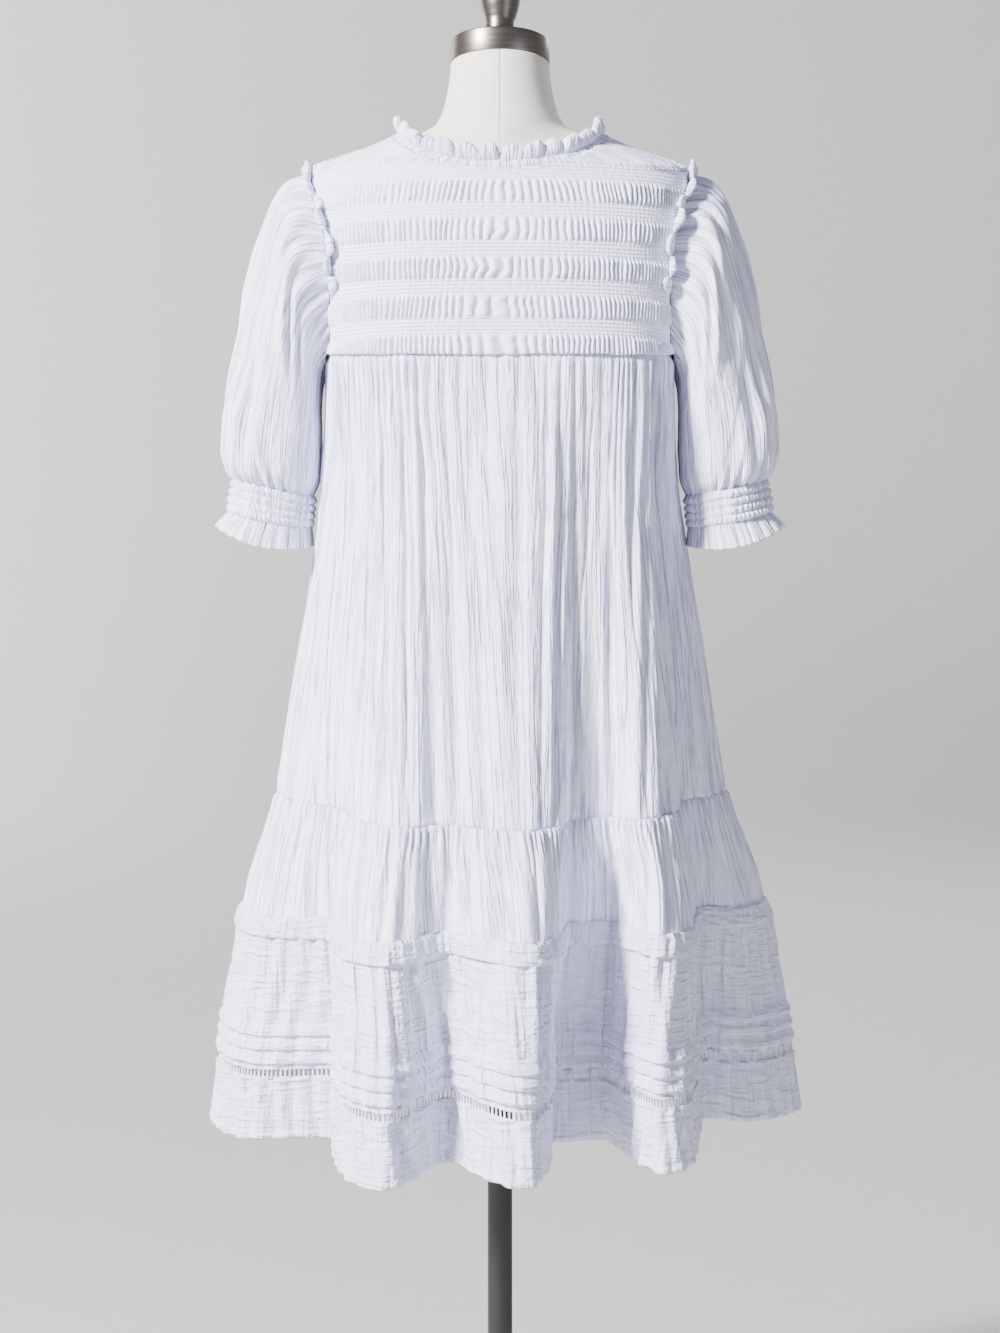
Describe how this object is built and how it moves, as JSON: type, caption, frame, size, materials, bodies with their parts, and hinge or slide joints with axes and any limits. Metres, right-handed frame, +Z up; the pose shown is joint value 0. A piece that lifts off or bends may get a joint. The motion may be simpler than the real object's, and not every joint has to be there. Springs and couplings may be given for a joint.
{
  "type": "peasant dress on a dress form",
  "caption": "White tiered cotton peasant dress with a smocked yoke, puff sleeves and ruffles, on a limbless dress form with a neck cap, finial and pole stand.",
  "frame": {"origin": "centre of the stand base's underside, where it meets the floor", "axes": "+Z up along the pole; the dress's back faces -Y and its front +Y, so +X is the wearer's right"},
  "size_m": [0.6019, 0.5321, 1.631],
  "materials": {
    "cotton_gauze": "matte white crinkled cotton double gauze",
    "form_linen": "matte natural linen cover stretched over the form",
    "brushed_gunmetal": "brushed dark gunmetal plating",
    "stand_steel": "satin dark grey powder coat"
  },
  "bodies": {
    "root": {"yoke_back": "cotton_gauze", "yoke_front": "cotton_gauze", "neck_band": "cotton_gauze", "neck_ruffle": "cotton_gauze", "sleeve_right": "cotton_gauze", "cuff_right": "cotton_gauze", "cuff_ruffle_right": "cotton_gauze", "armhole_ruffle_right": "cotton_gauze", "sleeve_left": "cotton_gauze", "cuff_left": "cotton_gauze", "cuff_ruffle_left": "cotton_gauze", "armhole_ruffle_left": "cotton_gauze", "body_back": "cotton_gauze", "tier_back": "cotton_gauze", "flounce_back": "cotton_gauze", "ladder_back": "cotton_gauze", "hem_back": "cotton_gauze", "body_front": "cotton_gauze", "tier_front": "cotton_gauze", "flounce_front": "cotton_gauze", "ladder_front": "cotton_gauze", "hem_front": "cotton_gauze", "form_torso": "form_linen", "neck_cap": "brushed_gunmetal", "finial": "brushed_gunmetal", "base": "stand_steel", "base_socket": "stand_steel", "pole": "stand_steel", "pole_collar": "stand_steel"}
  },
  "joints": []
}
